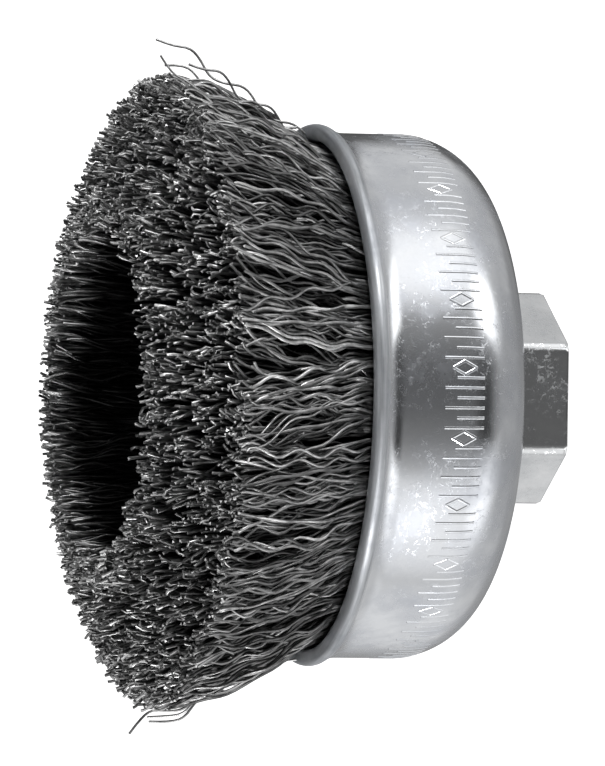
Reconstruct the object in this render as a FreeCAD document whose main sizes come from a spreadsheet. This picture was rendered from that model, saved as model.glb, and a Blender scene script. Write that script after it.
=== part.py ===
import FreeCAD, Part
import math
import os

import Sketcher
from FreeCAD import Placement, Rotation, Vector

# Wire cup brush for an angle grinder.
# It stands on its nut: the end face of the nut is z = 0 and the wires point up.
# A pressed steel cup holds crimped wires that are folded over a ring. The neck
# of the nut passes through the cup and a dished plate and is spread over it.

doc = FreeCAD.newDocument("wire_cup_brush")

SIZES = {
    "cup_radius": 30.9,
    "cup_depth": 20.5,
    "sheet_thickness": 1.2,
    "shoulder_radius": 10.4,
    "bead_radius": 1.0,
    "flare_radius": 4.3,
    "nut_flats": 22.0,
    "nut_height": 9.0,
    "corner_chamfer": 1.1,
    "neck_radius": 8.6,
    "neck_clearance": 0.05,
    "thread_radius": 5.92,
    "countersink": 1.2,
    "lip_width": 1.1,
    "lip_height": 1.4,
    "plate_thickness": 1.0,
    "plate_corner": 2.0,
    "plate_height": 12.5,
    "ring_wire": 1.25,
    "wire_radius": 0.65,
    "row_gap": 0.15,
    "seat_gap": 0.2,
    "mouth_lean": 29.0,
    "crimp_height": 0.6,
    "dome_height": 26.7,
    "dome_radius": 105.0,
    "hollow_radius": 17.6,
    "face_radius": 38.5,
    "edge_drop": 1.6,
    "stray_wire": 0.35,
    "stray_bend": 0.5,
}
SETS = 3
WIRES_PER_SET = 42
CRIMPS = 4
SIDES = 3
STRAY_RUNS = 6

sheet = doc.addObject("Spreadsheet::Sheet", "Sizes")
for row, (alias, value) in enumerate(SIZES.items(), start=1):
    sheet.set(f"A{row}", alias)
    sheet.set(f"B{row}", str(value))
    sheet.setAlias(f"B{row}", alias)
doc.recompute()

# Worked-out sizes, each an expression of the driving ones.
HOLE_RADIUS = "(Sizes.neck_radius + Sizes.neck_clearance)"
NUT_CORNER = "(Sizes.nut_flats / sqrt(3))"
CORNER_RADIUS = "(Sizes.cup_radius - Sizes.shoulder_radius)"
CORNER_HEIGHT = "(Sizes.nut_height + Sizes.shoulder_radius)"
CUP_FLOOR = "(Sizes.nut_height + Sizes.sheet_thickness)"
CUP_LIP = "(Sizes.nut_height + Sizes.cup_depth)"
BEAD_HEIGHT = f"({CUP_LIP} - Sizes.bead_radius)"
CURL_DROP = "(1.5 * Sizes.bead_radius)"
PLATE_FLOOR = f"({CUP_FLOOR} + Sizes.plate_thickness)"
ROW_PITCH = "(2 * Sizes.wire_radius + Sizes.row_gap)"
FIRST_FOLD = "(Sizes.ring_wire + Sizes.seat_gap + Sizes.wire_radius)"
BUNDLE_HALF = f"({FIRST_FOLD} + {SETS - 1} * {ROW_PITCH} + Sizes.wire_radius + Sizes.seat_gap)"
CORNER_ROOM = f"((Sizes.shoulder_radius - Sizes.sheet_thickness - {BUNDLE_HALF}) / sqrt(2))"
RING_RADIUS = f"({CORNER_RADIUS} + {CORNER_ROOM})"
RING_HEIGHT = f"({CORNER_HEIGHT} - {CORNER_ROOM})"
PLATE_RADIUS = f"({RING_RADIUS} - {BUNDLE_HALF})"
BEAD_ROOM = "(Sizes.bead_radius + Sizes.seat_gap + Sizes.wire_radius)"
OUTER_MOUTH = f"(Sizes.cup_radius - {BEAD_ROOM} / cos(Sizes.mouth_lean))"
INNER_MOUTH = f"({PLATE_RADIUS} + Sizes.seat_gap + Sizes.wire_radius)"


def size(expression):
    """Value of an expression of the sheet, as a plain number."""
    return float(sheet.evalExpression(expression))


def new_body(label):
    body = doc.addObject("PartDesign::Body", label)
    body.Label = label
    return body


def new_sketch(body, name):
    """Sketch in the plane of radius (across) and height (up)."""
    sketch = body.newObject("Sketcher::SketchObject", name)
    upright = next(item for item in body.Origin.OriginFeatures if item.Role == "XZ_Plane")
    sketch.AttachmentSupport = (upright, [""])
    sketch.MapMode = "FlatFace"
    return sketch


def bind(sketch, kind, places, expression):
    """Dimension of a sketch that follows an expression of the sheet."""
    constraint = Sketcher.Constraint(kind, *places, size(expression))
    index = sketch.addConstraint(constraint)
    sketch.setExpression(f"Constraints[{index}]", expression)


def bind_corner(sketch, line, across, up):
    """Tie the start of a line to its radius and height, or to an axis where that is zero."""
    for kind, axis, expression in (("DistanceX", -2, across), ("DistanceY", -1, up)):
        if expression == "0":
            sketch.addConstraint(Sketcher.Constraint("PointOnObject", line, 1, axis))
        else:
            bind(sketch, kind, (-1, 1, line, 1), expression)


def polygon_sketch(body, name, corners):
    """Closed outline of straight sides, given by the expressions of its corners."""
    sketch = new_sketch(body, name)
    points = [Vector(size(across), size(up), 0) for across, up in corners]
    for start, end in zip(points, points[1:] + points[:1]):
        sketch.addGeometry(Part.LineSegment(start, end))
    for line in range(len(corners)):
        following = (line + 1) % len(corners)
        sketch.addConstraint(Sketcher.Constraint("Coincident", line, 2, following, 1))
    for line, (across, up) in enumerate(corners):
        bind_corner(sketch, line, across, up)
    return sketch


def turn(body, kind, name, sketch):
    """Revolution or Groove of a sketch about the axis of the brush."""
    feature = body.newObject(f"PartDesign::{kind}", name)
    feature.Profile = sketch
    feature.ReferenceAxis = (sketch, ["V_Axis"])
    feature.Angle = 360
    doc.recompute()
    return feature


def round_edges(body, feature, name, radius, wanted):
    """Fillet on those circular edges whose centre height and radius are wanted."""
    names = []
    for number, edge in enumerate(feature.Shape.Edges, start=1):
        if isinstance(edge.Curve, Part.Circle):
            if wanted(edge.Curve.Center.z, edge.Curve.Radius):
                names.append(f"Edge{number}")
    fillet = body.newObject("PartDesign::Fillet", name)
    fillet.Base = (feature, names)
    fillet.setExpression("Radius", radius)
    doc.recompute()
    return fillet


def near(first, expression):
    return abs(first - size(expression)) < 1e-4


def make_cup():
    """Pressed cup of one sheet: flat back, round shoulder, straight wall and rolled rim."""
    body = new_body("cup")
    sketch = new_sketch(body, "cup_section")
    hole = size(HOLE_RADIUS)
    back = size("Sizes.nut_height")
    floor = size(CUP_FLOOR)
    wall = size("Sizes.cup_radius")
    inside = wall - size("Sizes.sheet_thickness")
    corner = Vector(size(CORNER_RADIUS), size(CORNER_HEIGHT), 0)
    bead = Vector(wall, size(BEAD_HEIGHT), 0)
    bead_radius = size("Sizes.bead_radius")
    flare_radius = size("Sizes.flare_radius")
    reach = math.sqrt(bead_radius * (2 * flare_radius + bead_radius))
    flare = Vector(wall + flare_radius, bead.y - reach, 0)
    lean = math.atan2(reach, flare_radius)
    waist = Vector(inside, bead.y - size(CURL_DROP), 0)

    def arc(centre, radius, start, end):
        return Part.ArcOfCircle(Part.Circle(centre, Vector(0, 0, 1), radius), start, end)

    quarter = math.pi / 2
    back_line = Part.LineSegment(Vector(hole, back, 0), Vector(corner.x, back, 0))
    shoulder = arc(corner, wall - corner.x, -quarter, 0)
    wall_line = Part.LineSegment(Vector(wall, corner.y, 0), Vector(wall, flare.y, 0))
    flare_arc = arc(flare, flare_radius, math.pi - lean, math.pi)
    bead_arc = arc(bead, bead_radius, -lean, math.pi)
    curl_line = Part.LineSegment(Vector(wall - bead_radius, bead.y, 0), waist)
    inner_line = Part.LineSegment(waist, Vector(inside, corner.y, 0))
    inner_shoulder = arc(corner, inside - corner.x, -quarter, 0)
    floor_line = Part.LineSegment(Vector(corner.x, floor, 0), Vector(hole, floor, 0))
    hole_line = Part.LineSegment(Vector(hole, floor, 0), Vector(hole, back, 0))
    outline = (back_line, shoulder, wall_line, flare_arc, bead_arc,
               curl_line, inner_line, inner_shoulder, floor_line, hole_line)
    (BACK, SHOULDER, WALL, FLARE, BEAD, CURL, INNER, INNER_SHOULDER, FLOOR, HOLE) = (
        sketch.addGeometry(piece) for piece in outline)
    START, END, CENTRE = 1, 2, 3

    def rule(kind, *places):
        sketch.addConstraint(Sketcher.Constraint(kind, *places))

    rule("Tangent", BACK, END, SHOULDER, START)
    rule("Tangent", SHOULDER, END, WALL, START)
    rule("Tangent", WALL, END, FLARE, END)
    rule("Tangent", FLARE, START, BEAD, START)
    rule("Coincident", BEAD, END, CURL, START)
    rule("Coincident", CURL, END, INNER, START)
    rule("Tangent", INNER, END, INNER_SHOULDER, END)
    rule("Tangent", INNER_SHOULDER, START, FLOOR, START)
    rule("Coincident", FLOOR, END, HOLE, START)
    rule("Coincident", HOLE, END, BACK, START)
    rule("Coincident", SHOULDER, CENTRE, INNER_SHOULDER, CENTRE)
    rule("Horizontal", BACK)
    rule("Horizontal", FLOOR)
    rule("Vertical", WALL)
    rule("Vertical", INNER)
    rule("Vertical", HOLE)
    rule("Vertical", BEAD, CENTRE, WALL, END)
    rule("Horizontal", BEAD, CENTRE, BEAD, END)
    bind(sketch, "DistanceX", (-1, 1, BACK, START), HOLE_RADIUS)
    bind(sketch, "DistanceY", (-1, 1, BACK, START), "Sizes.nut_height")
    bind(sketch, "DistanceX", (-1, 1, WALL, START), "Sizes.cup_radius")
    bind(sketch, "Radius", (SHOULDER,), "Sizes.shoulder_radius")
    bind(sketch, "DistanceY", (HOLE, END, HOLE, START), "Sizes.sheet_thickness")
    bind(sketch, "DistanceY", (-1, 1, BEAD, CENTRE), BEAD_HEIGHT)
    bind(sketch, "Radius", (BEAD,), "Sizes.bead_radius")
    bind(sketch, "Radius", (FLARE,), "Sizes.flare_radius")
    bind(sketch, "DistanceY", (CURL, END, CURL, START), CURL_DROP)
    turn(body, "Revolution", "pressed_sheet", sketch)
    return body


def make_nut():
    """Hexagon nut with a neck through the cup, spread over the plate like a rivet."""
    body = new_body("hex_nut")
    hexagon = body.newObject("PartDesign::AdditivePrism", "hexagon")
    hexagon.Polygon = 6
    hexagon.setExpression("Circumradius", NUT_CORNER)
    hexagon.setExpression("Height", "Sizes.nut_height")
    doc.recompute()
    lip_top = f"({PLATE_FLOOR} + Sizes.lip_height)"
    lip_edge = "(Sizes.neck_radius + Sizes.lip_width)"
    neck = polygon_sketch(body, "neck_section", [
        ("0", "Sizes.nut_height"),
        ("Sizes.neck_radius", "Sizes.nut_height"),
        ("Sizes.neck_radius", PLATE_FLOOR),
        (lip_edge, PLATE_FLOOR),
        (lip_edge, f"({PLATE_FLOOR} + Sizes.lip_height / 2)"),
        ("Sizes.neck_radius", lip_top),
        ("0", lip_top),
    ])
    turn(body, "Revolution", "neck", neck)
    chamfer = polygon_sketch(body, "chamfer_section", [
        (f"({NUT_CORNER} - Sizes.corner_chamfer)", "0"),
        (f"({NUT_CORNER} + Sizes.corner_chamfer)", "0"),
        (f"({NUT_CORNER} + Sizes.corner_chamfer)", "(2 * Sizes.corner_chamfer * tan(30))"),
    ])
    turn(body, "Groove", "corner_chamfers", chamfer)
    bore = polygon_sketch(body, "bore_section", [
        ("0", "0"),
        ("(Sizes.thread_radius + Sizes.countersink)", "0"),
        ("Sizes.thread_radius", "Sizes.countersink"),
        ("Sizes.thread_radius", lip_top),
        ("0", lip_top),
    ])
    turn(body, "Groove", "bore", bore)
    return body


def make_plate():
    """Dished plate on the cup floor. Its wall keeps the hollow of the brush open."""
    body = new_body("inner_plate")
    top = f"({CUP_FLOOR} + Sizes.plate_height)"
    inside = f"({PLATE_RADIUS} - Sizes.plate_thickness)"
    section = polygon_sketch(body, "plate_section", [
        (HOLE_RADIUS, CUP_FLOOR),
        (PLATE_RADIUS, CUP_FLOOR),
        (PLATE_RADIUS, top),
        (inside, top),
        (inside, PLATE_FLOOR),
        (HOLE_RADIUS, PLATE_FLOOR),
    ])
    dish = turn(body, "Revolution", "dish", section)
    outer = round_edges(body, dish, "outer_corner", "Sizes.plate_corner",
                        lambda height, radius: near(height, CUP_FLOOR) and near(radius, PLATE_RADIUS))
    round_edges(body, outer, "inner_corner", "(Sizes.plate_corner - Sizes.plate_thickness)",
                lambda height, radius: near(height, PLATE_FLOOR) and near(radius, inside))
    return body


def make_ring():
    """Wire ring that the folded wires hang on."""
    ring = doc.addObject("Part::Torus", "retaining_ring")
    ring.Label = "retaining_ring"
    ring.setExpression("Radius1", RING_RADIUS)
    ring.setExpression("Radius2", "Sizes.ring_wire")
    ring.setExpression("Placement.Base.z", RING_HEIGHT)
    return ring


def strand(path, radius):
    """Solid wire of few sides along straight runs, with mitred bends."""
    along = (path[1] - path[0]).normalize()
    side = along.cross(Vector(0, 1, 0)).normalize()
    turns = [Rotation(along, 360 * index / SIDES) for index in range(SIDES + 1)]
    section = Part.makePolygon([path[0] + each.multVec(side * radius) for each in turns])
    spine = Part.makePolygon(path)
    right_corner = 1
    return spine.makePipeShell([section], True, False, right_corner)


def dome(radius):
    """Height of the trimmed wire face above the cup's lip."""
    crown = size("Sizes.dome_radius")
    return size("Sizes.dome_height") - crown + math.sqrt(crown**2 - radius**2)


def leg(fold, mouth, tip, lag, way):
    """Points of one leg of a folded wire, from the fold to the wire face.

    The leg leans outwards a little more at the cup's lip than at its tip. Its
    crimps sit lower by the lag, a share of their spacing, and start on one way.
    """
    bow = 0.2
    points = [fold, mouth]
    for index in range(1, CRIMPS + 1):
        share = (index - lag) / (CRIMPS + 1)
        lean = share * (1 + bow) - share**2 * bow
        across = mouth.x + (tip.x - mouth.x) * lean
        up = mouth.z + (tip.z - mouth.z) * share
        side = way * (-1) ** index * size("Sizes.crimp_height")
        points.append(Vector(across, side, up))
    return points + [tip]


def folded_wire(row, lag, way):
    """One crimped wire, bent round the ring in the plane of radius and height."""
    radius = size("Sizes.wire_radius")
    ring = Vector(size(RING_RADIUS), 0, size(RING_HEIGHT))
    reach = size(FIRST_FOLD) + row * size(ROW_PITCH)
    half_turn = math.radians(22.5)
    bends = []
    for index in range(4):
        angle = math.pi + half_turn * (2 * index + 1)
        corner = Vector(math.cos(angle), 0, math.sin(angle))
        bends.append(ring + corner * (reach / math.cos(half_turn)))
    places = 2 * SETS - 1
    mouth_pitch = (size(OUTER_MOUTH) - size(INNER_MOUTH)) / places
    first_tip = size("Sizes.hollow_radius") + radius
    last_tip = size("Sizes.face_radius") - radius
    tip_pitch = (last_tip - first_tip) / places
    legs = []
    for place, bend in ((SETS - 1 - row, bends[0]), (SETS + row, bends[-1])):
        mouth = Vector(size(INNER_MOUTH) + place * mouth_pitch, 0, size(BEAD_HEIGHT))
        across = first_tip + place * tip_pitch
        up = size(CUP_LIP) + dome(across)
        if place == places:
            up -= size("Sizes.edge_drop")
        legs.append(leg(bend, mouth, Vector(across, 0, up), lag, way))
    inner, outer = legs
    return strand(inner[::-1] + bends[1:-1] + outer, radius)


def spread(shapes, first_angle):
    """Copies of the shapes round the axis, taken in turn, as one compound."""
    copies = []
    for index in range(WIRES_PER_SET):
        angle = first_angle + 360 * index / WIRES_PER_SET
        copy = shapes[index % len(shapes)].copy()
        copy.rotate(Vector(0, 0, 0), Vector(0, 0, 1), angle)
        copies.append(copy)
    return Part.makeCompound(copies)


def make_wires(row, label):
    """One set of folded wires. From one to the next the crimps move on by a quarter wave."""
    wires = doc.addObject("Part::Feature", label)
    wires.Label = label
    quarter_waves = [(0, 1), (0.5, 1), (0, -1), (0.5, -1)]
    templates = [folded_wire(row, lag, way) for lag, way in quarter_waves]
    wires.Shape = spread(templates, 360 / WIRES_PER_SET * row / SETS)
    wires.Placement = Placement()
    return wires


def stray(angle, reach, rise):
    """Thin wire bent out of the bundle, with its foot between cup wall and wires.

    Its end stands out of the rim of the wire face by the reach and the rise.
    """
    radius = size("Sizes.stray_wire")
    bend = size("Sizes.stray_bend")
    face = size("Sizes.face_radius")
    wall = size("Sizes.cup_radius") - size("Sizes.sheet_thickness")
    foot = wall - size("Sizes.seat_gap") - radius
    first = Vector(foot + bend, 0, size(CUP_LIP) + size("Sizes.bead_radius"))
    last = Vector(face + reach, 0, size(CUP_LIP) + dome(face) + rise)
    path = [Vector(foot, 0, size(CORNER_HEIGHT)), Vector(foot, 0, size(BEAD_HEIGHT))]
    for index in range(STRAY_RUNS + 1):
        kink = bend * (-1) ** index
        path.append(first + (last - first) * (index / STRAY_RUNS) + Vector(kink, kink, 0))
    wire = strand(path, radius)
    wire.rotate(Vector(0, 0, 0), Vector(0, 0, 1), angle)
    return wire


def make_strays():
    """The few wires that stand out of the bundle, each between two outer legs."""
    strays = doc.addObject("Part::Feature", "stray_wires")
    strays.Label = "stray_wires"
    step = 360 / WIRES_PER_SET
    between = step * (SETS - 1) / SETS + step / 2
    strays.Shape = Part.makeCompound([
        stray(between - step, 2.5, -1.1),
        stray(between, 0.2, -2.4),
        stray(between - 2 * step, -0.9, 0.1),
        stray(between + 180 - step, 2.4, 1.7),
        stray(between + 180, 0.9, 0.3),
    ])
    strays.Placement = Placement()
    return strays


def main():
    pieces = [make_cup(), make_nut(), make_plate(), make_ring()]
    for row, label in enumerate(("wires_inner", "wires_middle", "wires_outer")):
        pieces.append(make_wires(row, label))
    pieces.append(make_strays())
    doc.recompute()
    for item in doc.Objects:
        if "Invalid" in item.State or "Error" in item.State:
            raise RuntimeError(f"{item.Name} failed: {item.State}")
    for piece in pieces:
        if piece.Shape.isNull() or not piece.Shape.isValid():
            raise RuntimeError(f"{piece.Label} has no valid shape")
    os.makedirs("parts", exist_ok=True)
    for piece in pieces:
        piece.Shape.exportStep(f"parts/{piece.Label}.step")


main()
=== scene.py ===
import math

import bmesh
import bpy
from mathutils import Matrix, Vector


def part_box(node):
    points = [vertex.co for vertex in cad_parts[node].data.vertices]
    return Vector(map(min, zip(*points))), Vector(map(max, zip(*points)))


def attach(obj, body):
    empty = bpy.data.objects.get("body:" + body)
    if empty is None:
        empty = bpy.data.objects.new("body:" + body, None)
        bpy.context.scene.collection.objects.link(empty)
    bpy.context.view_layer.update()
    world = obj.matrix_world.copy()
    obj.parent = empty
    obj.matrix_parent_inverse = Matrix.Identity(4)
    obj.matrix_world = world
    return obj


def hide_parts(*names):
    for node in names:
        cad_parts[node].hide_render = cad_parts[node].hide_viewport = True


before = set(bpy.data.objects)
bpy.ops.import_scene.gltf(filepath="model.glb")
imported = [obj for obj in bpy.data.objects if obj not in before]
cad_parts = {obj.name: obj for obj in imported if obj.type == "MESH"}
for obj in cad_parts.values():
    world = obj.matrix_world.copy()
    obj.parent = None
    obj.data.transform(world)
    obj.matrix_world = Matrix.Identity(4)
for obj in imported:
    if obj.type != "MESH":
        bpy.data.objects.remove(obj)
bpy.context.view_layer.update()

bl_info = {
    "name": "Wire Cup Brush",
    "version": (1, 0, 0),
    "blender": (4, 5, 0),
    "location": "3D View > Sidebar > Cup Brush",
    "description": "Dresses a crimped wire cup brush for an angle grinder",
    "category": "Object",
}

MM = 0.001

# Light that metal sees, as degrees round from the camera, towards +X, and strength: white
# cards at both sides, dark in front and behind. The low ring is for what faces downwards.
AROUND = ((-180, 0.25), (-152, 0.40), (-142, 0.82), (-100, 0.86), (-88, 0.64), (-76, 1.00),
          (-41, 1.06), (-32, 0.48), (-20, 0.24), (-5, 0.14), (12, 0.11), (38, 0.36),
          (46, 1.25), (76, 1.22), (86, 0.66), (138, 0.74), (152, 0.10), (180, 0.08))
AROUND_LOW = ((-180, 0.36), (-152, 0.40), (-142, 0.60), (-86, 0.62), (-68, 1.70), (-42, 1.75),
              (-30, 0.06), (30, 0.06), (40, 2.40), (58, 2.40), (76, 0.62), (140, 0.58),
              (156, 0.30), (180, 0.30))
# Strength of the flag overhead, the card at the zenith, the floor and the room for dull rays.
OVERHEAD = 0.06
SKYLIGHT = 1.5
BELOW = 0.42
ROOM = 0.6
# Where each zone takes over, as the Z of the direction at its start and where it is full.
LOW_ZONE = (-0.45, -0.65)
BELOW_ZONE = (-0.80, -0.96)
OVERHEAD_ZONE = (0.10, 0.30)
SKYLIGHT_ZONE = (0.72, 0.85)

# Sizes and heights that the frame's boxes don't give.
BAND_TOP = 21.0 * MM
RUBBED_FROM = 27.6 * MM
RUBBED_FULL = 28.0 * MM
NECK_RADIUS = 8.6 * MM
NECK_GAP = 0.05 * MM
LIP_WIDTH = 1.1 * MM
LIP_HEIGHT = 1.4 * MM
STAMP_PROUD = 0.05 * MM

# Places that come from the frame. The brush stands on its nut and its axis is Z.
CUP_LOW, CUP_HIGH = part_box("cup")
_, NUT_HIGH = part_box("hex_nut")
_, PLATE_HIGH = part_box("inner_plate")
CUP_BACK = CUP_LOW.z
CUP_LIP = CUP_HIGH.z
RIM_RADIUS = CUP_HIGH.x
NUT_CORNER = NUT_HIGH.x
NUT_FLAT = NUT_HIGH.y
NECK_TOP = NUT_HIGH.z
PLATE_RADIUS = PLATE_HIGH.x


def linear(hex_colour):
    """sRGB hex value as linear red, green, blue and alpha."""
    channels = [int(hex_colour[i:i + 2], 16) / 255 for i in (1, 3, 5)]
    curve = [c / 12.92 if c <= 0.04045 else ((c + 0.055) / 1.055) ** 2.4 for c in channels]
    return (*curve, 1.0)


def grey(strength):
    """Neutral light of a given strength."""
    return (strength, strength, strength, 1.0)


def add(tree, kind, inputs=None, **settings):
    """Add a node with its settings. An input is a value or an output to link."""
    node = tree.nodes.new(kind)
    for name, value in settings.items():
        setattr(node, name, value)
    for name, value in (inputs or {}).items():
        if isinstance(value, bpy.types.NodeSocket):
            tree.links.new(value, node.inputs[name])
        else:
            node.inputs[name].default_value = value
    return node


def new_material(name):
    """Empty node material with its output, ready for a shader."""
    material = bpy.data.materials.new(name)
    material.use_nodes = True
    material.node_tree.nodes.clear()
    return material, material.node_tree, add(material.node_tree, "ShaderNodeOutputMaterial")


def ramp_stops(node, *stops):
    """Set a colour ramp's stops, each a place and a linear colour."""
    elements = node.color_ramp.elements
    while len(elements) < len(stops):
        elements.new(1.0)
    for element, (place, colour) in zip(elements, stops):
        element.position = place
        element.color = colour


def zinc_plate(name, base, shade, roughness, wear):
    """Bright zinc electroplate on steel.

    It mirrors softly. Streaks run round it, with cloudy patches and small rough marks. The real
    streaks are too fine to show, so they are drawn coarser. The rolled rim is rubbed dull and
    darker in streaks.
    """
    rim_darker, rim_rub = linear("#787C80"), 0.34
    material, tree, output = new_material(name)
    place = add(tree, "ShaderNodeTexCoord").outputs["Object"]
    round_about = add(tree, "ShaderNodeMapping", {
        "Vector": place, "Scale": (1 / (7 * MM), 1 / (7 * MM), 1 / (0.35 * MM))})
    streaks = add(tree, "ShaderNodeTexNoise", {
        "Vector": round_about.outputs["Vector"], "Scale": 1.0, "Detail": 3.0})
    cloud = add(tree, "ShaderNodeTexNoise", {
        "Vector": place, "Scale": 1 / (6 * MM), "Detail": 5.0, "Roughness": 0.6})
    marks = add(tree, "ShaderNodeTexNoise", {
        "Vector": place, "Scale": 1 / (0.7 * MM), "Detail": 5.0, "Roughness": 0.75,
        "Distortion": 0.8})
    patches = add(tree, "ShaderNodeMapRange", {
        "Value": cloud.outputs["Fac"], "From Min": 0.42 - 0.4 * wear, "From Max": 0.7})
    dents = add(tree, "ShaderNodeMapRange", {
        "Value": marks.outputs["Fac"], "From Min": 0.6 - 0.2 * wear, "From Max": 0.66})
    worn = add(tree, "ShaderNodeMath", {
        0: dents.outputs["Result"], 1: patches.outputs["Result"]}, operation="MULTIPLY")
    height = add(tree, "ShaderNodeSeparateXYZ", {0: place}).outputs["Z"]
    rim = add(tree, "ShaderNodeMapRange", {
        "Value": height, "From Min": RUBBED_FROM, "From Max": RUBBED_FULL})
    # The rolled rim is darker in streaks.
    darker_streaks = add(tree, "ShaderNodeMath", {
        0: rim.outputs["Result"], 1: streaks.outputs["Fac"]}, operation="MULTIPLY")
    plate = add(tree, "ShaderNodeMix", {
        0: patches.outputs["Result"], 6: linear(base), 7: linear(shade)}, data_type="RGBA")
    colour = add(tree, "ShaderNodeMix", {
        0: darker_streaks.outputs[0], 6: plate.outputs[2], 7: rim_darker}, data_type="RGBA")
    gloss = add(tree, "ShaderNodeMapRange", {
        "Value": cloud.outputs["Fac"], "From Min": 0.35, "From Max": 0.72,
        "To Min": roughness * 0.8, "To Max": roughness * 2.6})
    dull = add(tree, "ShaderNodeMath", {
        0: worn.outputs[0], 1: wear, 2: gloss.outputs["Result"]}, operation="MULTIPLY_ADD")
    rubbed = add(tree, "ShaderNodeMath", {
        0: rim.outputs["Result"], 1: rim_rub, 2: dull.outputs[0]}, operation="MULTIPLY_ADD")
    lines = add(tree, "ShaderNodeBump", {
        "Height": streaks.outputs["Fac"], "Distance": 0.01 * MM, "Strength": 0.3})
    bump = add(tree, "ShaderNodeBump", {
        "Height": worn.outputs[0], "Distance": 0.08 * MM, "Strength": wear,
        "Normal": lines.outputs["Normal"]})
    shader = add(tree, "ShaderNodeBsdfPrincipled", {
        "Base Color": colour.outputs[2], "Metallic": 1.0,
        "Roughness": rubbed.outputs[0], "Normal": bump.outputs["Normal"]})
    tree.links.new(shader.outputs["BSDF"], output.inputs["Surface"])
    return material


def drawn_wire(name, base, light, roughness):
    """Bare hard-drawn steel wire. It is bright outside and at its ends, and dark in the bundle,
    where the dark is painted shade.

    Its attribute says how far the wire is out of that painted shade, from 0 to 1, times a
    random tone. Grain breaks it up. It is drawn coarser than the real one, which is too fine
    to show.
    """
    material, tree, output = new_material(name)
    place = add(tree, "ShaderNodeTexCoord").outputs["Object"]
    shade_and_tone = add(tree, "ShaderNodeAttribute", attribute_name="shade_and_tone")
    grain = add(tree, "ShaderNodeTexNoise", {
        "Vector": place, "Scale": 1 / (1.5 * MM), "Detail": 3.0})
    patchy = add(tree, "ShaderNodeMapRange", {
        "Value": grain.outputs["Fac"], "From Min": 0.35, "From Max": 0.65,
        "To Min": 0.45, "To Max": 1.0})
    tint = add(tree, "ShaderNodeMath", {
        0: shade_and_tone.outputs["Fac"], 1: patchy.outputs["Result"]}, operation="MULTIPLY")
    colour = add(tree, "ShaderNodeMix", {
        0: tint.outputs[0], 6: linear(base), 7: linear(light)}, data_type="RGBA")
    shader = add(tree, "ShaderNodeBsdfPrincipled", {
        "Base Color": colour.outputs[2], "Metallic": 1.0, "Roughness": roughness})
    tree.links.new(shader.outputs["BSDF"], output.inputs["Surface"])
    return material


def oiled_steel(name, base, light, roughness):
    """Dull oiled steel of the plate and the ring. The film gives a faint, uneven shine."""
    material, tree, output = new_material(name)
    place = add(tree, "ShaderNodeTexCoord").outputs["Object"]
    film = add(tree, "ShaderNodeTexNoise", {
        "Vector": place, "Scale": 1 / (4 * MM), "Detail": 4.0})
    colour = add(tree, "ShaderNodeMix", {
        0: film.outputs["Fac"], 6: linear(base), 7: linear(light)}, data_type="RGBA")
    shader = add(tree, "ShaderNodeBsdfPrincipled", {
        "Base Color": colour.outputs[2], "Metallic": 1.0, "Roughness": roughness})
    tree.links.new(shader.outputs["BSDF"], output.inputs["Surface"])
    return material


def mesh_object(name, mesh, material):
    """Object at the origin that carries a mesh and its material."""
    mesh.materials.clear()
    mesh.materials.append(material)
    piece = bpy.data.objects.new(name, mesh)
    bpy.context.scene.collection.objects.link(piece)
    return piece


def settle(piece, slot_name, *nodes):
    """Tie a finished piece to the brush and hide the solids it stands for."""
    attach(piece, "root")
    if nodes:
        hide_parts(*nodes)
    return piece


def turned_mesh(name, profile, steps):
    """Surface of revolution about Z of a closed outline, given as radii and heights."""
    work = bmesh.new()
    rings = []
    for step in range(steps):
        angle = math.tau * step / steps
        side = Vector((math.cos(angle), math.sin(angle), 0))
        rings.append([work.verts.new(side * radius + Vector((0, 0, height)))
                      for radius, height in profile])
    count = len(profile)
    for step in range(steps):
        near, far = rings[step], rings[(step + 1) % steps]
        for index in range(count):
            following = (index + 1) % count
            work.faces.new((near[index], far[index], far[following], near[following]))
    bmesh.ops.recalc_face_normals(work, faces=work.faces)
    mesh = bpy.data.meshes.new(name)
    work.to_mesh(mesh)
    work.free()
    mesh.shade_smooth()
    return mesh


def arc_points(centre, radius, start, end, count):
    """Points of an arc in the plane of radius and height, angles in degrees."""
    points = []
    for index in range(count + 1):
        angle = math.radians(start + (end - start) * index / count)
        points.append((centre[0] + radius * math.cos(angle),
                       centre[1] + radius * math.sin(angle)))
    return points


class BrushCupSettings(bpy.types.PropertyGroup):
    sheet: bpy.props.FloatProperty(
        name="Sheet", description="Thickness of the pressed sheet",
        default=1.2 * MM, unit="LENGTH")
    shoulder: bpy.props.FloatProperty(
        name="Shoulder", description="Radius of the round shoulder",
        default=9.5 * MM, unit="LENGTH")
    bead: bpy.props.FloatProperty(
        name="Bead", description="Radius of the rolled rim",
        default=1.0 * MM, unit="LENGTH")
    flare: bpy.props.FloatProperty(
        name="Flare", description="Radius of the hollow behind the rim",
        default=4.3 * MM, unit="LENGTH")
    mark_height: bpy.props.FloatProperty(
        name="Mark Height", description="Height of the longest stamped mark",
        default=4.8 * MM, unit="LENGTH")
    mark_width: bpy.props.FloatProperty(
        name="Mark Width", description="Width of a stamped line",
        default=0.46 * MM, unit="LENGTH")
    zinc: bpy.props.StringProperty(
        name="Zinc", description="Colour of the plated sheet", default="#E2E4E7")
    zinc_shade: bpy.props.StringProperty(
        name="Zinc Shade", description="Colour of the dull patches", default="#C3C6CC")


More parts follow.
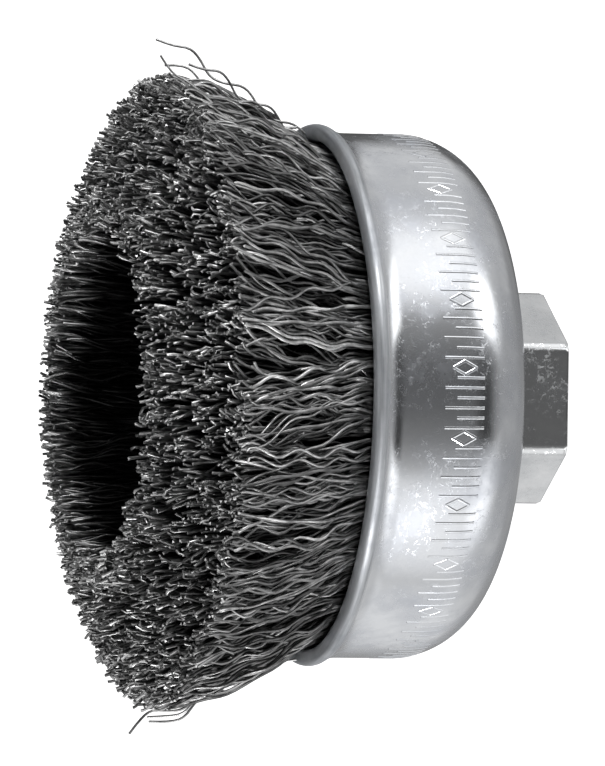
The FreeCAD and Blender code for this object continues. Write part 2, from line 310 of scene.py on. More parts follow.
class BrushNutSettings(bpy.types.PropertyGroup):
    thread_major: bpy.props.FloatProperty(
        name="Thread Radius", description="Outer radius of the spindle thread",
        default=7.0 * MM, unit="LENGTH")
    thread_pitch: bpy.props.FloatProperty(
        name="Thread Pitch", description="Rise of one turn of the thread",
        default=2.0 * MM, unit="LENGTH")
    chamfer: bpy.props.FloatProperty(
        name="Chamfer", description="Cut of the corners at the end face",
        default=0.35 * MM, unit="LENGTH")
    countersink: bpy.props.FloatProperty(
        name="Countersink", description="Depth of the opened end of the thread",
        default=1.2 * MM, unit="LENGTH")
    edge: bpy.props.FloatProperty(
        name="Edge", description="Rounding of the long edges",
        default=1.5 * MM, unit="LENGTH")
    rim: bpy.props.FloatProperty(
        name="Rim", description="Rounding round the end face",
        default=0.32 * MM, unit="LENGTH")


class BrushWireSettings(bpy.types.PropertyGroup):
    # The real wire is about 0.3 mm thick, too fine to show, so it is drawn thicker.
    wire: bpy.props.FloatProperty(
        name="Wire", description="Radius of one wire",
        default=0.21 * MM, unit="LENGTH")
    crimp: bpy.props.FloatProperty(
        name="Crimp", description="Half height of the crimp wave",
        default=0.5 * MM, unit="LENGTH")
    hollow: bpy.props.FloatProperty(
        name="Hollow", description="Radius of the hollow at the wire face",
        default=19.2 * MM, unit="LENGTH")
    face: bpy.props.FloatProperty(
        name="Face", description="Outer radius of the wire face",
        default=37.1 * MM, unit="LENGTH")
    face_height: bpy.props.FloatProperty(
        name="Face Height", description="Height of the wire face over the rim, at the hollow",
        default=24.9 * MM, unit="LENGTH")
    face_drop: bpy.props.FloatProperty(
        name="Face Drop", description="Fall of the rounded face from the hollow to its edge",
        default=7.0 * MM, unit="LENGTH")
    tilt: bpy.props.FloatProperty(
        name="Tilt", description="Slope of the unevenly worn face, rising to the back",
        default=0.036, unit="NONE")
    # Painted shade: Steel is the colour of wires deep in the bundle, where they would shade each
    # other, and Steel Light the colour of wire out of that shade.
    steel: bpy.props.StringProperty(
        name="Steel", description="Colour of the oily wire in the bundle", default="#2E2E2E")
    steel_light: bpy.props.StringProperty(
        name="Steel Light", description="Colour of the clean wire", default="#F0F0F0")


class BrushStageSettings(bpy.types.PropertyGroup):
    elevation: bpy.props.FloatProperty(
        name="Elevation", description="Height of the camera over the horizon",
        default=math.radians(15.5), subtype="ANGLE")
    roll: bpy.props.FloatProperty(
        name="Roll", description="Tilt of the brush in the picture",
        default=math.radians(0.9), subtype="ANGLE")
    distance: bpy.props.FloatProperty(
        name="Distance", description="Distance of the camera",
        default=0.95, unit="LENGTH")
    frame_height: bpy.props.FloatProperty(
        name="Frame Height", description="Height of the picture at the brush",
        default=90.1 * MM, unit="LENGTH")


def cup_profile(cup):
    """Outline of the cup's sheet, once round: back, shoulder, wall, rim and inside."""
    wall = RIM_RADIUS - cup.bead
    corner = (wall - cup.shoulder, CUP_BACK + cup.shoulder)
    bead = (wall, CUP_LIP - cup.bead)
    reach = math.sqrt(cup.bead * (2 * cup.flare + cup.bead))
    flare = (wall + cup.flare, bead[1] - reach)
    lean = math.degrees(math.atan2(reach, cup.flare))
    hole = NECK_RADIUS + NECK_GAP
    inside = cup.shoulder - cup.sheet
    curl_drop = 1.5 * cup.bead
    points = [(hole, CUP_BACK), ((hole + corner[0]) / 2, CUP_BACK)]
    points += arc_points(corner, cup.shoulder, -90, 0, 24)
    points += [(wall, (corner[1] + flare[1]) / 2)]
    points += arc_points(flare, cup.flare, 180, 180 - lean, 8)
    points += arc_points(bead, cup.bead, -lean, 180, 16)[1:]
    points += [(corner[0] + inside, bead[1] - curl_drop)]
    points += arc_points(corner, inside, 0, -90, 12)
    points += [(hole, CUP_BACK + cup.sheet)]
    return points


class BRUSH_OT_cup(bpy.types.Operator):
    """Make the pressed cup with its rolled rim"""
    bl_idname = "brush.cup"
    bl_label = "Cup"

    def execute(self, context):
        cup = context.scene.brush_cup
        mesh = turned_mesh("pressed_cup", cup_profile(cup), steps=240)
        zinc = zinc_plate("bright_zinc_on_pressed_steel", cup.zinc, cup.zinc_shade,
                          roughness=0.14, wear=0.18)
        settle(mesh_object("pressed_cup", mesh, zinc), "cup_zinc", "cup")
        return {"FINISHED"}


def band_point(cup, drop, proud):
    """Radius and height on the outside of the wall, a length below the band's top."""
    wall = RIM_RADIUS - cup.bead
    corner = Vector((wall - cup.shoulder, CUP_BACK + cup.shoulder))
    straight = BAND_TOP - corner.y
    if drop < straight:
        return Vector((wall + proud, BAND_TOP - drop))
    turn = (drop - straight) / cup.shoulder
    return corner + (cup.shoulder + proud) * Vector((math.cos(turn), -math.sin(turn)))


def stamped_stroke(work, cup, path):
    """Low ridge along a path of points, each a length round the wall and a drop down it."""
    # Across the stroke, as shares of its half width: sunk at the edges and proud between.
    section = ((-1, -1), (-0.4, 1), (0.4, 1), (1, -1))
    rows = []
    for index, (side, drop) in enumerate(path):
        before = Vector(path[max(index - 1, 0)])
        after = Vector(path[min(index + 1, len(path) - 1)])
        across = (after - before).normalized()
        across = Vector((-across.y, across.x)) * cup.mark_width / 2
        row = []
        for share, lift in section:
            spot = Vector((side, drop)) + across * share
            radius, height = band_point(cup, spot.y, lift * STAMP_PROUD)
            angle = spot.x / (RIM_RADIUS - cup.bead)
            row.append(work.verts.new((
                radius * math.cos(angle), radius * math.sin(angle), height)))
        rows.append(row)
    for near, far in zip(rows, rows[1:]):
        for index in range(4):
            following = (index + 1) % 4
            work.faces.new((near[index], far[index], far[following], near[following]))
    work.faces.new(rows[0])
    work.faces.new(reversed(rows[-1]))


def marks_tree():
    """Geometry Nodes tree that repeats one motif round the axis."""
    tree = bpy.data.node_groups.new("stamped_band", "GeometryNodeTree")
    for name, kind in (("Geometry", "NodeSocketGeometry"), ("Count", "NodeSocketInt"),
                       ("Material", "NodeSocketMaterial")):
        tree.interface.new_socket(name, in_out="INPUT", socket_type=kind)
    tree.interface.new_socket("Geometry", in_out="OUTPUT", socket_type="NodeSocketGeometry")
    given = add(tree, "NodeGroupInput").outputs
    places = add(tree, "GeometryNodePoints", {"Count": given["Count"]})
    share = add(tree, "ShaderNodeMath", {
        0: add(tree, "GeometryNodeInputIndex").outputs[0], 1: given["Count"]}, operation="DIVIDE")
    angle = add(tree, "ShaderNodeMath", {0: share.outputs[0], 1: math.tau}, operation="MULTIPLY")
    turn = add(tree, "ShaderNodeCombineXYZ", {"Z": angle.outputs[0]})
    copies = add(tree, "GeometryNodeInstanceOnPoints", {
        "Points": places.outputs[0], "Instance": given["Geometry"], "Rotation": turn.outputs[0]})
    real = add(tree, "GeometryNodeRealizeInstances", {"Geometry": copies.outputs[0]})
    finish = add(tree, "GeometryNodeSetMaterial", {
        "Geometry": real.outputs[0], "Material": given["Material"]})
    add(tree, "NodeGroupOutput", {"Geometry": finish.outputs[0]})
    return tree


class BRUSH_OT_marks(bpy.types.Operator):
    """Stamp a plain band of ticks and diamonds round the shoulder"""
    bl_idname = "brush.marks"
    bl_label = "Stamped Band"

    def execute(self, context):
        cup = context.scene.brush_cup
        # Each motif is some ticks and a diamond, evenly spaced.
        count = 24
        ticks = 6
        gap = math.tau * (RIM_RADIUS - cup.bead) / count / (ticks + 1)
        tall = cup.mark_height
        inset = 0.3 * tall
        work = bmesh.new()
        for tick in range(1, ticks + 1):
            side = (tick - 4) * gap
            start = 0 if tick % 2 else inset
            path = [(side, start + (tall - start) * step / 5) for step in range(6)]
            stamped_stroke(work, cup, path)
        side = 3 * gap
        diamond = [(0, -1), (0.55, 0), (0, 1), (-0.55, 0), (0, -1)]
        for first, second in zip(diamond, diamond[1:]):
            path = []
            for step in range(4):
                x, y = Vector(first).lerp(Vector(second), step / 3)
                path.append((side + x * inset, 0.5 * tall + y * inset))
            stamped_stroke(work, cup, path)
        bmesh.ops.recalc_face_normals(work, faces=work.faces)
        motif = bpy.data.meshes.new("stamped_band")
        work.to_mesh(motif)
        work.free()
        bright = zinc_plate("stamped_edge_in_zinc", cup.zinc, cup.zinc_shade,
                            roughness=0.2, wear=0.1)
        band = grow("stamped_band", marks_tree(), bright, {"Count": count}, motif)
        band.data.set_sharp_from_angle(angle=math.radians(40))
        settle(band, "cup_zinc")
        return {"FINISHED"}


def hexagon_corner(nut):
    """Angles and radii of one sixth of the rounded hexagon, from one flat's middle on."""
    centre = (NUT_FLAT - nut.edge) / math.cos(math.pi / 6)
    end = math.atan2(centre * math.sin(math.pi / 6), NUT_FLAT)
    spots = []
    for share in (0.0, 0.4, 0.7, 0.88, 0.96, 1.0):
        spots.append((math.atan(math.tan(end) * share),
                      NUT_FLAT * math.hypot(1, math.tan(end) * share)))
    for step in range(1, 5):
        turn = math.pi / 6 * step / 4
        x = NUT_FLAT - nut.edge + nut.edge * math.cos(turn)
        y = centre * math.sin(math.pi / 6) + nut.edge * math.sin(turn)
        spots.append((math.atan2(y, x), math.hypot(x, y)))
    mirrored = [(math.pi / 3 - angle, radius) for angle, radius in reversed(spots[:-1])]
    return spots + mirrored[:-1]


def thread_radius(nut, angle, height):
    """Radius of the bore: thread form, opened by the countersink at the end face."""
    # As shares of the pitch: the thread's depth, half the flat at its root, and one flank.
    deep, flat, flank = 0.5413, 0.125, 0.3125
    minor = nut.thread_major - deep * nut.thread_pitch
    phase = (height / nut.thread_pitch - angle / math.tau) % 1.0
    ramp = min(max((abs(phase - 0.5) - flat) / flank, 0.0), 1.0)
    form = nut.thread_major - (nut.thread_major - minor) * ramp
    return max(form, minor + nut.countersink - height)


def nut_outline(nut, corner):
    """Radii and heights outside the nut at one angle, from the end face to the inner lip."""
    circle = NUT_CORNER - nut.chamfer
    slope = math.tan(math.pi / 6)
    inner = min(corner, circle)
    cut_high = max(corner - circle, 0.0) * slope
    brink = Vector((inner, 0.0))
    up = Vector((corner, cut_high)) if corner - circle > nut.rim else Vector((inner, nut.rim))
    up = brink + (up - brink).normalized() * nut.rim
    back = brink - Vector((nut.rim, 0.0))
    line = []
    for step in range(5):
        share = step / 4
        line.append(back * (1 - share) ** 2 + brink * 2 * share * (1 - share) + up * share ** 2)
    rim_run, seat_edge = 0.15 * MM, 0.25 * MM
    line.append(Vector((corner, max(cut_high, nut.rim) + rim_run)))
    line.append(Vector((corner, CUP_BACK - seat_edge)))
    line.append(Vector((corner - seat_edge, CUP_BACK)))
    lip = NECK_RADIUS + LIP_WIDTH
    line += [Vector((NECK_RADIUS, CUP_BACK)), Vector((NECK_RADIUS, NECK_TOP - LIP_HEIGHT)),
             Vector((lip, NECK_TOP - LIP_HEIGHT)), Vector((lip, NECK_TOP - LIP_HEIGHT / 2)),
             Vector((NECK_RADIUS, NECK_TOP))]
    return line


class BRUSH_OT_nut(bpy.types.Operator):
    """Make the hexagon nut with its threaded bore"""
    bl_idname = "brush.nut"
    bl_label = "Nut"

    def execute(self, context):
        nut = context.scene.brush_nut
        sixth = hexagon_corner(nut)
        around = [(angle + math.pi / 6 + math.pi / 3 * side, radius)
                  for side in range(6) for angle, radius in sixth]
        per_turn, merge = 8, 0.002 * MM
        rows = per_turn * round((NECK_TOP + nut.thread_pitch) / nut.thread_pitch)
        work = bmesh.new()
        rings = []
        for angle, corner in around:
            line = [tuple(point) for point in nut_outline(nut, corner)]
            for row in range(rows + 1):
                height = NECK_TOP - (row / per_turn - angle / math.tau) * nut.thread_pitch
                height = min(max(height, 0.0), NECK_TOP)
                line.append((thread_radius(nut, angle, height), height))
            rings.append([work.verts.new((
                radius * math.cos(angle), radius * math.sin(angle), height))
                for radius, height in line])
        for near, far in zip(rings, rings[1:] + rings[:1]):
            for index in range(len(near)):
                following = (index + 1) % len(near)
                work.faces.new((near[index], far[index], far[following], near[following]))
        bmesh.ops.remove_doubles(work, verts=work.verts, dist=merge)
        bmesh.ops.dissolve_degenerate(work, edges=work.edges, dist=merge)
        bmesh.ops.recalc_face_normals(work, faces=work.faces)
        mesh = bpy.data.meshes.new("threaded_nut")
        work.to_mesh(mesh)
        work.free()
        mesh.shade_smooth()
        mesh.set_sharp_from_angle(angle=math.radians(28))
        zinc = zinc_plate("worn_zinc_on_turned_nut", "#E2E3E4", "#C4C6C8",
                          roughness=0.13, wear=0.28)
        settle(mesh_object("threaded_nut", mesh, zinc), "nut_zinc", "hex_nut")
        return {"FINISHED"}


class BRUSH_OT_plate(bpy.types.Operator):
    """Finish the dished plate and the ring that hold the wires"""
    bl_idname = "brush.plate"
    bl_label = "Plate and Ring"

    def execute(self, context):
        steel = oiled_steel(
            "oiled_steel_of_plate_and_ring", "#3A3A3A", "#5E5D5B", roughness=0.4)
        for name in ("inner_plate", "retaining_ring"):
            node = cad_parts[name]
            node.data.materials.clear()
            node.data.materials.append(steel)
        return {"FINISHED"}


def wire_tree():
    """Geometry Nodes tree that grows crimped wires from inside the cup to the domed face."""
    tree = bpy.data.node_groups.new("crimped_wires", "GeometryNodeTree")
    kinds = {"F": "NodeSocketFloat", "I": "NodeSocketInt", "M": "NodeSocketMaterial"}
    for name, kind in (
            ("Wires", "I"), ("Points", "I"), ("Clump", "I"), ("Seed", "I"),
            ("Wire Radius", "F"), ("Wave Steps", "F"), ("Clump Width", "F"),
            ("Inner Share", "F"), ("Outer Share", "F"), ("Hollow", "F"), ("Face", "F"),
            ("Inner Mouth", "F"), ("Outer Mouth", "F"), ("Root", "F"), ("Lip", "F"),
            ("Face Height", "F"), ("Face Drop", "F"), ("Face Power", "F"), ("Tilt", "F"),
            ("Crimp", "F"), ("Scatter", "F"), ("Bow", "F"), ("Uneven", "F"),
            ("Material", "M")):
        tree.interface.new_socket(name, in_out="INPUT", socket_type=kinds[kind])
    tree.interface.new_socket("Geometry", in_out="OUTPUT", socket_type="NodeSocketGeometry")
    given = add(tree, "NodeGroupInput").outputs

    def maths(operation, first, second=0.0, third=0.0):
        node = add(tree, "ShaderNodeMath", {0: first, 1: second, 2: third}, operation=operation)
        return node.outputs[0]

    index = add(tree, "GeometryNodeInputIndex").outputs[0]
    points = given["Points"]
    wire = maths("FLOOR", maths("DIVIDE", maths("ADD", index, 0.5), points))
    step = maths("SUBTRACT", index, maths("MULTIPLY", wire, points))
    clump = maths("FLOOR", maths("DIVIDE", maths("ADD", wire, 0.5), given["Clump"]))

    def chance(number, low, high, owner=wire):
        """Random value of each wire or clump, the same along its length.

        Seeds of two sets stand 20 apart, more than the values that one set draws.
        """
        seed = maths("ADD", maths("MULTIPLY", given["Seed"], 20), number)
        node = add(tree, "FunctionNodeRandomValue", {
            "ID": owner, "Seed": seed}, data_type="FLOAT")
        for name, value in (("Min", low), ("Max", high)):
            socket = next(s for s in node.inputs if s.name == name and s.enabled)
            if isinstance(value, bpy.types.NodeSocket):
                tree.links.new(value, socket)
            else:
                socket.default_value = value
        return next(s for s in node.outputs if s.enabled)

    def tailed(number, amount, owner=wire):
        """Random value that is mostly small, with a few large ones."""
        flat = chance(number, -1.0, 1.0, owner)
        return maths("MULTIPLY", maths("MULTIPLY", flat, maths("ABSOLUTE", flat)), amount)

    def between(low, high, share):
        """Value at a share of the way from low to high."""
        return maths("MULTIPLY_ADD", maths("SUBTRACT", high, low), share, low)

    # Where the wire ends on the face, even over the face's area.
    share = chance(0, given["Inner Share"], given["Outer Share"])
    hollow_square = maths("POWER", given["Hollow"], 2.0)
    face_square = maths("POWER", given["Face"], 2.0)
    tip = maths("SQRT", between(hollow_square, face_square, share))
    width = maths("SUBTRACT", given["Face"], given["Hollow"])
    place = maths("DIVIDE", maths("SUBTRACT", tip, given["Hollow"]), width)
    mouth = between(given["Inner Mouth"], given["Outer Mouth"], place)
    drop = maths("MULTIPLY", maths("POWER", place, given["Face Power"]), given["Face Drop"])
    rise = maths("SUBTRACT", given["Face Height"], drop)
    top = maths("ADD", maths("ADD", given["Lip"], rise), tailed(1, given["Uneven"]))

    # The face rises to the back, away from the camera.
    round_about = chance(4, 0.0, math.tau, clump)
    slope = maths("MULTIPLY", maths("SINE", round_about), given["Tilt"])
    top = maths("MULTIPLY_ADD", slope, tip, top)

    # How far along the wire each point lies. The start shifts so no bands show.
    last = maths("SUBTRACT", points, 1.0)
    shift = chance(2, 0.0, 1.0)
    along = maths("MINIMUM", maths("DIVIDE", maths("ADD", step, shift), last), 1.0)
    height = between(given["Root"], top, along)
    out = add(tree, "ShaderNodeMapRange", {
        "Value": height, "From Min": given["Lip"], "From Max": top}).outputs["Result"]

    # The wire spreads from the mouth to its tip, a little faster at first, and bows on the way.
    # Inside the cup it closes in towards its root.
    splay = maths("MULTIPLY", out, maths("MULTIPLY_ADD", out, -0.12, 1.12))
    arch = maths("SINE", maths("MULTIPLY", out, math.pi))
    radius = between(mouth, tip, splay)
    inside = maths("MAXIMUM", maths("SUBTRACT", given["Lip"], height), 0.0)
    radius = maths("MULTIPLY_ADD", inside, -0.2, radius)
    radius = maths("ADD", radius, maths("MULTIPLY", arch, tailed(3, given["Bow"], clump)))
    spread = maths("DIVIDE", maths("MULTIPLY", given["Clump Width"], chance(10, -0.5, 0.5)), tip)
    angle = maths("ADD", round_about, spread)
    angle = maths("ADD", angle, maths("MULTIPLY", out, tailed(5, given["Scatter"], clump)))
    fray = maths("MULTIPLY", given["Scatter"], 0.5)
    angle = maths("ADD", angle, maths("MULTIPLY", out, tailed(13, fray)))
    sway = maths("DIVIDE", tailed(6, given["Bow"], clump), tip)
    angle = maths("ADD", angle, maths("MULTIPLY", arch, sway))

    # The crimp: a wave in a plane of its own. Wires of one clump nearly follow each other. It
    # is held small at the mouth and is free 4 mm further out.
    phase = maths("MULTIPLY", given["Wave Steps"], chance(7, 0.0, 1.0, clump))
    phase = maths("ADD", phase, chance(11, -0.5, 0.5))
    beat = maths("DIVIDE", maths("ADD", step, phase), given["Wave Steps"])
    beat = maths("MULTIPLY", beat, math.tau)
    grip = add(tree, "ShaderNodeMapRange", {
        "Value": height, "From Min": given["Lip"], "From Max": maths("ADD", given["Lip"], 4 * MM),
        "To Min": 0.35, "To Max": 1.0}).outputs["Result"]
    size = maths("MULTIPLY", given["Crimp"], chance(8, 0.5, 1.3))
    wave = maths("MULTIPLY", maths("MULTIPLY", maths("SINE", beat), size), grip)
    facing = maths("ADD", chance(9, 0.0, math.tau, clump), chance(12, -0.6, 0.6))
    outward = maths("ADD", radius, maths("MULTIPLY", wave, maths("SINE", facing)))
    sideways = maths("MULTIPLY", wave, maths("COSINE", facing))
    flat = add(tree, "ShaderNodeCombineXYZ", {"X": outward, "Y": sideways, "Z": height})
    spot = add(tree, "ShaderNodeVectorRotate", {
        "Vector": flat.outputs[0], "Angle": angle}, rotation_type="Z_AXIS")

    # Painted shade: only the outermost wires and the cut ends are bright, and wires deeper in
    # the bundle are dark. A random tone of each wire is laid over it.
    cloud = add(tree, "GeometryNodePoints", {
        "Count": maths("MULTIPLY", given["Wires"], points), "Position": spot.outputs[0]})
    unshaded = add(tree, "ShaderNodeMapRange", {
        "Value": share, "From Min": 0.87, "From Max": 0.99}).outputs["Result"]
    unshaded_end = add(tree, "ShaderNodeMapRange", {
        "Value": out, "From Min": 0.85, "From Max": 0.97, "To Min": 0.1}).outputs["Result"]
    shade_and_tone = maths("MULTIPLY", maths("MAXIMUM", unshaded, unshaded_end), chance(14, 0.2, 1.0))
    shade_stored = add(tree, "GeometryNodeStoreNamedAttribute", {
        "Geometry": cloud.outputs[0], "Name": "shade_and_tone", "Value": shade_and_tone},
        data_type="FLOAT", domain="POINT")
    paths = add(tree, "GeometryNodePointsToCurves", {
        "Points": shade_stored.outputs[0], "Curve Group ID": wire, "Weight": step})
    ring = add(tree, "GeometryNodeCurvePrimitiveCircle", {
        "Resolution": 3, "Radius": given["Wire Radius"]})
    tubes = add(tree, "GeometryNodeCurveToMesh", {
        "Curve": paths.outputs[0], "Profile Curve": ring.outputs["Curve"], "Fill Caps": True})
    real = add(tree, "GeometryNodeRealizeInstances", {"Geometry": tubes.outputs[0]})
    finish = add(tree, "GeometryNodeSetMaterial", {
        "Geometry": real.outputs[0], "Material": given["Material"]})
    add(tree, "NodeGroupOutput", {"Geometry": finish.outputs[0]})
    return tree


def grow(name, tree, material, values, start=None):
    """Plain mesh object made by a Geometry Nodes tree with the given inputs."""
    holder = bpy.data.objects.new(name, start or bpy.data.meshes.new(name))
    bpy.context.scene.collection.objects.link(holder)
    modifier = holder.modifiers.new("grow", "NODES")
    modifier.node_group = tree
    sockets = {item.name: item.identifier for item in tree.interface.items_tree
               if item.item_type == "SOCKET" and item.in_out == "INPUT"}
    for key, value in {**values, "Material": material}.items():
        modifier[sockets[key]] = value
    graph = bpy.context.evaluated_depsgraph_get()
    mesh = bpy.data.meshes.new_from_object(holder.evaluated_get(graph))
    holder.modifiers.remove(modifier)
    bpy.data.objects.remove(holder)
    mesh.name = name
    mesh.shade_smooth()
    return mesh_object(name, mesh, material)


class BRUSH_OT_wires(bpy.types.Operator):
    """Grow the crimped wires in overlapping sets"""
    bl_idname = "brush.wires"
    bl_label = "Crimped Wires"

    def execute(self, context):
        wires = context.scene.brush_wires
        cup = context.scene.brush_cup
        tree = wire_tree()
        steel = drawn_wire(
            "hard_drawn_steel_wire", wires.steel, wires.steel_light, roughness=0.43)
        plate_gap, bead_gap, root_depth, wire_pitch = 0.4 * MM, 0.3 * MM, 6 * MM, 0.36 * MM
        common = {
            "Wire Radius": wires.wire, "Hollow": wires.hollow, "Face": wires.face,
            "Inner Mouth": PLATE_RADIUS + plate_gap,
            "Outer Mouth": RIM_RADIUS - 2 * cup.bead - bead_gap,
            "Root": CUP_LIP - root_depth, "Lip": CUP_LIP,
            "Face Height": wires.face_height, "Face Drop": wires.face_drop, "Face Power": 1.7,
            "Tilt": wires.tilt,
            "Crimp": wires.crimp, "Bow": 1.8 * MM, "Uneven": 1.1 * MM,
        }
        # Piece, node, wires, points of each, points per crimp wave, where the tips start and end
        # as shares of the face's area, scatter in radians, and wires per clump.
        sets = (
            ("crimped_wires_inner", "wires_inner", 1250, 24, 5.6, 0.0, 0.16, 0.12, 3),
            ("crimped_wires_middle", "wires_middle", 1600, 20, 5.6, 0.06, 0.72, 0.10, 3),
            ("crimped_wires_face", "wires_middle", 1600, 20, 5.2, 0.10, 0.78, 0.12, 2),
            ("crimped_wires_outer", "wires_outer", 900, 29, 7.0, 0.62, 0.9, 0.14, 4),
            ("crimped_wires_edge", "wires_outer", 1000, 29, 7.0, 0.8, 1.0, 0.24, 5),
            ("crimped_wires_rim", "wires_outer", 900, 29, 7.0, 0.88, 1.0, 0.16, 6),
        )
        for seed, row in enumerate(sets, start=1):
            name, node, count, points, wave, low, high, scatter, clump = row
            piece = grow(name, tree, steel, {
                **common, "Wires": count, "Points": points, "Seed": seed, "Wave Steps": wave,
                "Inner Share": low, "Outer Share": high, "Scatter": scatter,
                "Clump": clump, "Clump Width": clump * wire_pitch})
            settle(piece, "wire_steel", node)
        return {"FINISHED"}


def stray_path(side, start, end, wave, lean):
    """Points of one stray wire: straight from start to end, with its crimp wave.

    Start and end are heights and radii in millimetres, wave is the phase and lean a turn.
    """
    # Four points make one wave. Spacing and half height are in millimetres, twist in radians.
    spacing, crimp, twist = 1.9, 0.85, 0.01
    start, end = Vector(start), Vector(end)
    along = end - start
    across = Vector((-along.y, along.x)).normalized()
    count = round(along.length / spacing)
    points = []
    for index in range(count + 1):
        share = index / count
        swing = math.sin(math.pi / 2 * (index + wave))
        height, radius = start + along * share + across * crimp * swing
        angle = side + lean * share + twist * math.cos(math.pi / 2 * (index + wave))
        points.append(Vector((radius * math.cos(angle), radius * math.sin(angle), height)) * MM)
    return points


class BRUSH_OT_strays(bpy.types.Operator):
    """Bend a few single wires out of the bundle"""
    bl_idname = "brush.strays"
    bl_label = "Stray Wires"

    def execute(self, context):
        wires = context.scene.brush_wires
        # Side, height and radius at the start and at the end, phase of the wave, and turn.
        top, low = 0.0, math.pi
        strays = (
            (top, (29.5, 30.2), (47.4, 42.0), 0.3, 0.0),
            (top, (31.0, 30.8), (46.0, 38.9), 1.4, 0.06),
            (top, (30.0, 30.6), (48.0, 38.8), 2.6, -0.05),
            (top, (31.5, 31.4), (44.4, 39.2), 3.3, -0.1),
            (low, (30.0, 30.4), (47.2, 39.2), 0.8, 0.02),
            (low, (33.0, 31.4), (46.6, 38.9), 2.9, -0.06),
            (low, (38.0, 34.0), (50.6, 39.2), 1.7, 0.05),
        )
        # Stray wires stand out of the bundle, so they carry little painted shade.
        thinner, unshaded = 0.75, 0.8
        curve = bpy.data.curves.new("stray_crimped_wires", "CURVE")
        curve.dimensions = "3D"
        curve.bevel_depth = wires.wire * thinner
        curve.bevel_resolution = 1
        curve.resolution_u = 3
        curve.use_fill_caps = True
        for stray in strays:
            points = stray_path(*stray)
            spline = curve.splines.new("NURBS")
            spline.points.add(len(points) - 1)
            for knot, point in zip(spline.points, points):
                knot.co = (*point, 1.0)
            spline.order_u = 3
            spline.use_endpoint_u = True
        holder = bpy.data.objects.new("stray_crimped_wires", curve)
        bpy.context.scene.collection.objects.link(holder)
        graph = bpy.context.evaluated_depsgraph_get()
        mesh = bpy.data.meshes.new_from_object(holder.evaluated_get(graph))
        bpy.data.objects.remove(holder)
        shade_and_tone = mesh.attributes.new("shade_and_tone", "FLOAT", "POINT")
        shade_and_tone.data.foreach_set("value", [unshaded] * len(mesh.vertices))
        steel = bpy.data.materials["hard_drawn_steel_wire"]
        piece = mesh_object("stray_crimped_wires", mesh, steel)
        settle(piece, "wire_steel", "stray_wires")
        return {"FINISHED"}


def stage_camera(stage):
    """Camera on the -Y side, over the horizon. Apart from the roll, +X is up in the picture."""
    # Point of the brush that lies in the middle of the picture.
    aim = Vector((1.4 * MM, 0, 29.4 * MM))
    data = bpy.data.cameras.new("camera")
    data.lens = data.sensor_width * stage.distance / stage.frame_height
    camera = bpy.data.objects.new("camera", data)
    bpy.context.scene.collection.objects.link(camera)
    away = Vector((0, -math.cos(stage.elevation), math.sin(stage.elevation)))
    up = Vector((1, 0, 0))
    right = up.cross(away)
    level_up = up * math.cos(stage.roll) - right * math.sin(stage.roll)
    level_right = right * math.cos(stage.roll) + up * math.sin(stage.roll)
    turn = Matrix((level_right, level_up, away)).transposed().to_4x4()
    camera.matrix_world = Matrix.Translation(aim + away * stage.distance) @ turn
    bpy.context.scene.camera = camera


def studio_world():
    """White to the camera and through glass. Metal sees cards and dark flags instead."""
    world = bpy.data.worlds.new("studio")
    world.use_nodes = True
    tree = world.node_tree
    tree.nodes.clear()
    direction = add(tree, "ShaderNodeTexCoord").outputs["Generated"]
    parts = add(tree, "ShaderNodeSeparateXYZ", {0: direction}).outputs
    toward = add(tree, "ShaderNodeMath", {0: parts["Y"], 1: -1.0}, operation="MULTIPLY")
    turn = add(tree, "ShaderNodeMath", {0: parts["X"], 1: toward.outputs[0]}, operation="ARCTAN2")
    share = add(tree, "ShaderNodeMath", {
        0: turn.outputs[0], 1: 1 / math.tau, 2: 0.5}, operation="MULTIPLY_ADD")
    rings = []
    for ring in (AROUND, AROUND_LOW):
        ramp = add(tree, "ShaderNodeValToRGB", {"Fac": share.outputs[0]})
        ramp_stops(ramp, *((turned / 360 + 0.5, grey(light)) for turned, light in ring))
        rings.append(ramp.outputs["Color"])
    light = rings[0]
    for (start, end), zone in ((LOW_ZONE, rings[1]), (BELOW_ZONE, grey(BELOW)),
                               (OVERHEAD_ZONE, grey(OVERHEAD)), (SKYLIGHT_ZONE, grey(SKYLIGHT))):
        rise = add(tree, "ShaderNodeMapRange", {
            "Value": parts["Z"], "From Min": start, "From Max": end})
        light = add(tree, "ShaderNodeMix", {
            0: rise.outputs["Result"], 6: light, 7: zone}, data_type="RGBA").outputs[2]
    rays = add(tree, "ShaderNodeLightPath").outputs
    clear = add(tree, "ShaderNodeMath", {
        0: rays["Is Camera Ray"], 1: rays["Is Transmission Ray"]}, operation="MAXIMUM")
    flagged = add(tree, "ShaderNodeMix", {
        0: rays["Is Glossy Ray"], 6: grey(ROOM), 7: light}, data_type="RGBA")
    seen = add(tree, "ShaderNodeMix", {
        0: clear.outputs[0], 6: flagged.outputs[2], 7: grey(1.0)}, data_type="RGBA")
    studio = add(tree, "ShaderNodeBackground", {"Color": seen.outputs[2], "Strength": 1.0})
    add(tree, "ShaderNodeOutputWorld", {"Surface": studio.outputs[0]})
    bpy.context.scene.world = world


def white_table():
    """White card under the brush, kept white to the camera. Metal doesn't mirror it."""
    glow_strength, half_side, gap = 0.90, 3.0, 0.05 * MM
    material, tree, output = new_material("white_card")
    rays = add(tree, "ShaderNodeLightPath")
    card = add(tree, "ShaderNodeBsdfDiffuse", {"Color": linear("#E8E8E8")})
    share = add(tree, "ShaderNodeMath", {
        0: rays.outputs["Is Camera Ray"], 1: glow_strength}, operation="MULTIPLY")
    glow = add(tree, "ShaderNodeEmission", {
        "Color": (1, 1, 1, 1), "Strength": share.outputs[0]})
    lift = add(tree, "ShaderNodeAddShader", {0: card.outputs[0], 1: glow.outputs[0]})
    tree.links.new(lift.outputs[0], output.inputs["Surface"])
    work = bmesh.new()
    bmesh.ops.create_grid(work, x_segments=1, y_segments=1, size=half_side)
    mesh = bpy.data.meshes.new("table")
    work.to_mesh(mesh)
    work.free()
    table = mesh_object("table", mesh, material)
    table.location.z = -gap
    table.visible_glossy = False


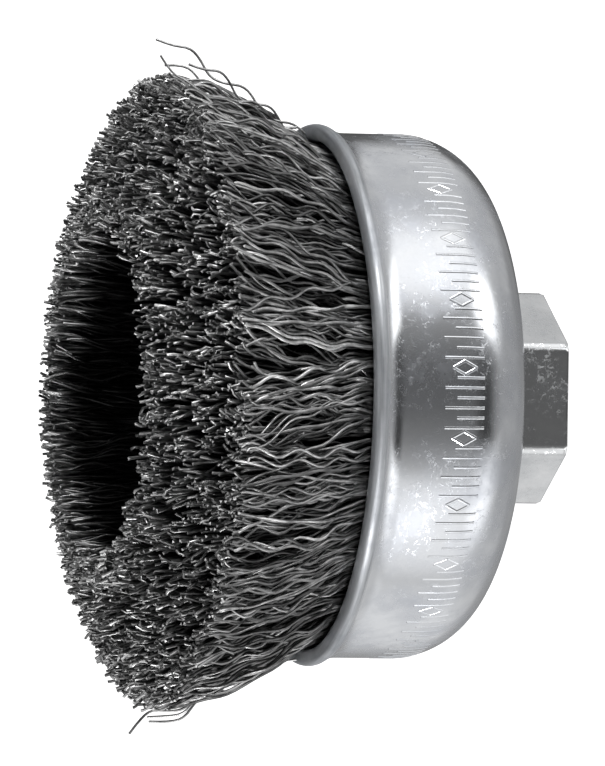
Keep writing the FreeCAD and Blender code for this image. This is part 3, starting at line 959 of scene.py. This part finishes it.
def side_lamps():
    """Two suns, towards +X and -X and just over the horizon, that light a line on each wire."""
    strength, width, lift, stand_off = 1.9, math.radians(9), 0.03, 0.5
    for name, turn in (("lamp_left", 58), ("lamp_right", -54)):
        data = bpy.data.lights.new(name, "SUN")
        data.energy = strength
        data.angle = width
        lamp = bpy.data.objects.new(name, data)
        bpy.context.scene.collection.objects.link(lamp)
        side = Vector((math.sin(math.radians(turn)), -math.cos(math.radians(turn)), lift))
        lamp.rotation_euler = side.to_track_quat("Z", "Y").to_euler()
        lamp.location = side * stand_off


class BRUSH_OT_stage(bpy.types.Operator):
    """Set up the table, the studio and the camera"""
    bl_idname = "brush.stage"
    bl_label = "Stage"

    def execute(self, context):
        white_table()
        studio_world()
        side_lamps()
        stage_camera(context.scene.brush_stage)
        context.scene.view_settings.view_transform = "Standard"
        return {"FINISHED"}


class BRUSH_PT_panel(bpy.types.Panel):
    """Sidebar panel with one button for each group of pieces"""
    bl_label = "Cup Brush"
    bl_space_type = "VIEW_3D"
    bl_region_type = "UI"
    bl_category = "Cup Brush"

    def draw(self, context):
        for operator in OPERATORS:
            self.layout.operator(operator.bl_idname)


SETTINGS = {
    "brush_cup": BrushCupSettings,
    "brush_nut": BrushNutSettings,
    "brush_wires": BrushWireSettings,
    "brush_stage": BrushStageSettings,
}
OPERATORS = (BRUSH_OT_cup, BRUSH_OT_marks, BRUSH_OT_nut, BRUSH_OT_plate,
             BRUSH_OT_wires, BRUSH_OT_strays, BRUSH_OT_stage)


def register():
    for name, group in SETTINGS.items():
        bpy.utils.register_class(group)
        setattr(bpy.types.Scene, name, bpy.props.PointerProperty(type=group))
    for operator in OPERATORS:
        bpy.utils.register_class(operator)
    bpy.utils.register_class(BRUSH_PT_panel)


def unregister():
    bpy.utils.unregister_class(BRUSH_PT_panel)
    for operator in reversed(OPERATORS):
        bpy.utils.unregister_class(operator)
    for name, group in SETTINGS.items():
        delattr(bpy.types.Scene, name)
        bpy.utils.unregister_class(group)


def main():
    register()
    bpy.ops.brush.cup()
    bpy.ops.brush.marks()
    bpy.ops.brush.nut()
    bpy.ops.brush.plate()
    bpy.ops.brush.wires()
    bpy.ops.brush.strays()
    bpy.ops.brush.stage()


if __name__ == "__main__":
    main()
